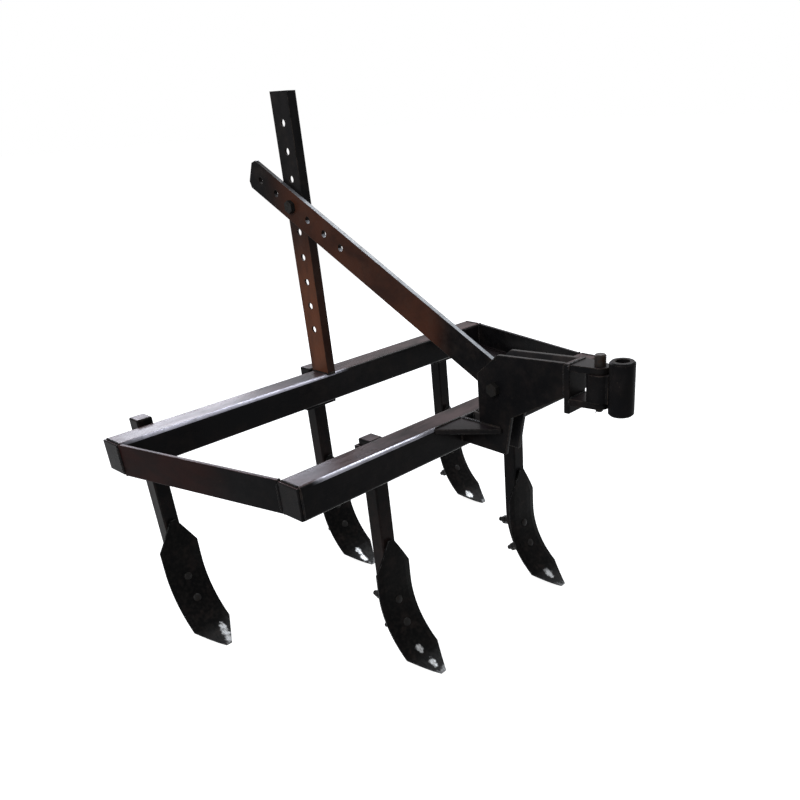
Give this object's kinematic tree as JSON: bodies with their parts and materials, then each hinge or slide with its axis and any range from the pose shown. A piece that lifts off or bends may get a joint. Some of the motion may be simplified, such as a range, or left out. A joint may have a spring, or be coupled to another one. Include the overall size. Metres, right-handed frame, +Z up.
{
  "type": "tine cultivator",
  "caption": "Black steel tine cultivator: tapered box frame on curved shovel tines, holed mast with sloping stay, swivel hitch barrel.",
  "frame": {"origin": "middle of the whole bounding box in plan, on the ground under the shovel tips", "axes": "+Z up, +Y towards the hitch (the way it is pulled), +X to the right hand side seen from behind"},
  "size_m": [1.098, 1.0334, 1.124],
  "materials": {
    "frame_paint": "gloss",
    "clamp_paint": "gloss",
    "shank_paint": "satin",
    "shovel_steel": "satin",
    "mast_paint": "gloss",
    "stay_paint": "gloss",
    "hitch_paint": "gloss",
    "swivel_paint": "satin",
    "bolt_steel": "satin",
    "pin_steel": "satin"
  },
  "bodies": {
    "frame": {"rear_bar": "frame_paint", "front_bar": "frame_paint", "end_bar_right": "frame_paint", "end_bar_left": "frame_paint", "rear_cap_right": "frame_paint", "rear_cap_left": "frame_paint", "front_cap_right": "frame_paint", "front_cap_left": "frame_paint", "pad_rear_right": "clamp_paint", "strap_rear_right": "clamp_paint", "shank_rear_right": "shank_paint", "shovel_rear_right": "shovel_steel", "pad_rear_middle": "clamp_paint", "strap_rear_middle": "clamp_paint", "shank_rear_middle": "shank_paint", "shovel_rear_middle": "shovel_steel", "pad_rear_left": "clamp_paint", "strap_rear_left": "clamp_paint", "shank_rear_left": "shank_paint", "shovel_rear_left": "shovel_steel", "pad_front_right": "clamp_paint", "strap_front_right": "clamp_paint", "shank_front_right": "shank_paint", "shovel_front_right": "shovel_steel", "pad_front_left": "clamp_paint", "strap_front_left": "clamp_paint", "shank_front_left": "shank_paint", "shovel_front_left": "shovel_steel", "mast_upright": "mast_paint", "stay_bar": "stay_paint", "tongue_plate_right": "hitch_paint", "tongue_plate_left": "hitch_paint", "gusset_right": "hitch_paint", "gusset_left": "hitch_paint", "hitch_nose": "hitch_paint", "hitch_lug_top": "hitch_paint", "hitch_lug_bottom": "hitch_paint", "stay_cross_bolt": "bolt_steel", "stay_foot_bolt": "bolt_steel", "foot_sleeve_right": "bolt_steel", "foot_sleeve_left": "bolt_steel", "hitch_pin": "pin_steel"},
    "hitch_swivel": {"swivel_eye": "swivel_paint", "hitch_barrel": "swivel_paint"}
  },
  "joints": [
    {"name": "hitch_swing", "type": "hinge", "parent": "frame", "child": "hitch_swivel", "pos_m": [0.0235, 0.44874, 0.6375], "axis": [0, 0, 1], "range_deg": [-25, 25]}
  ]
}
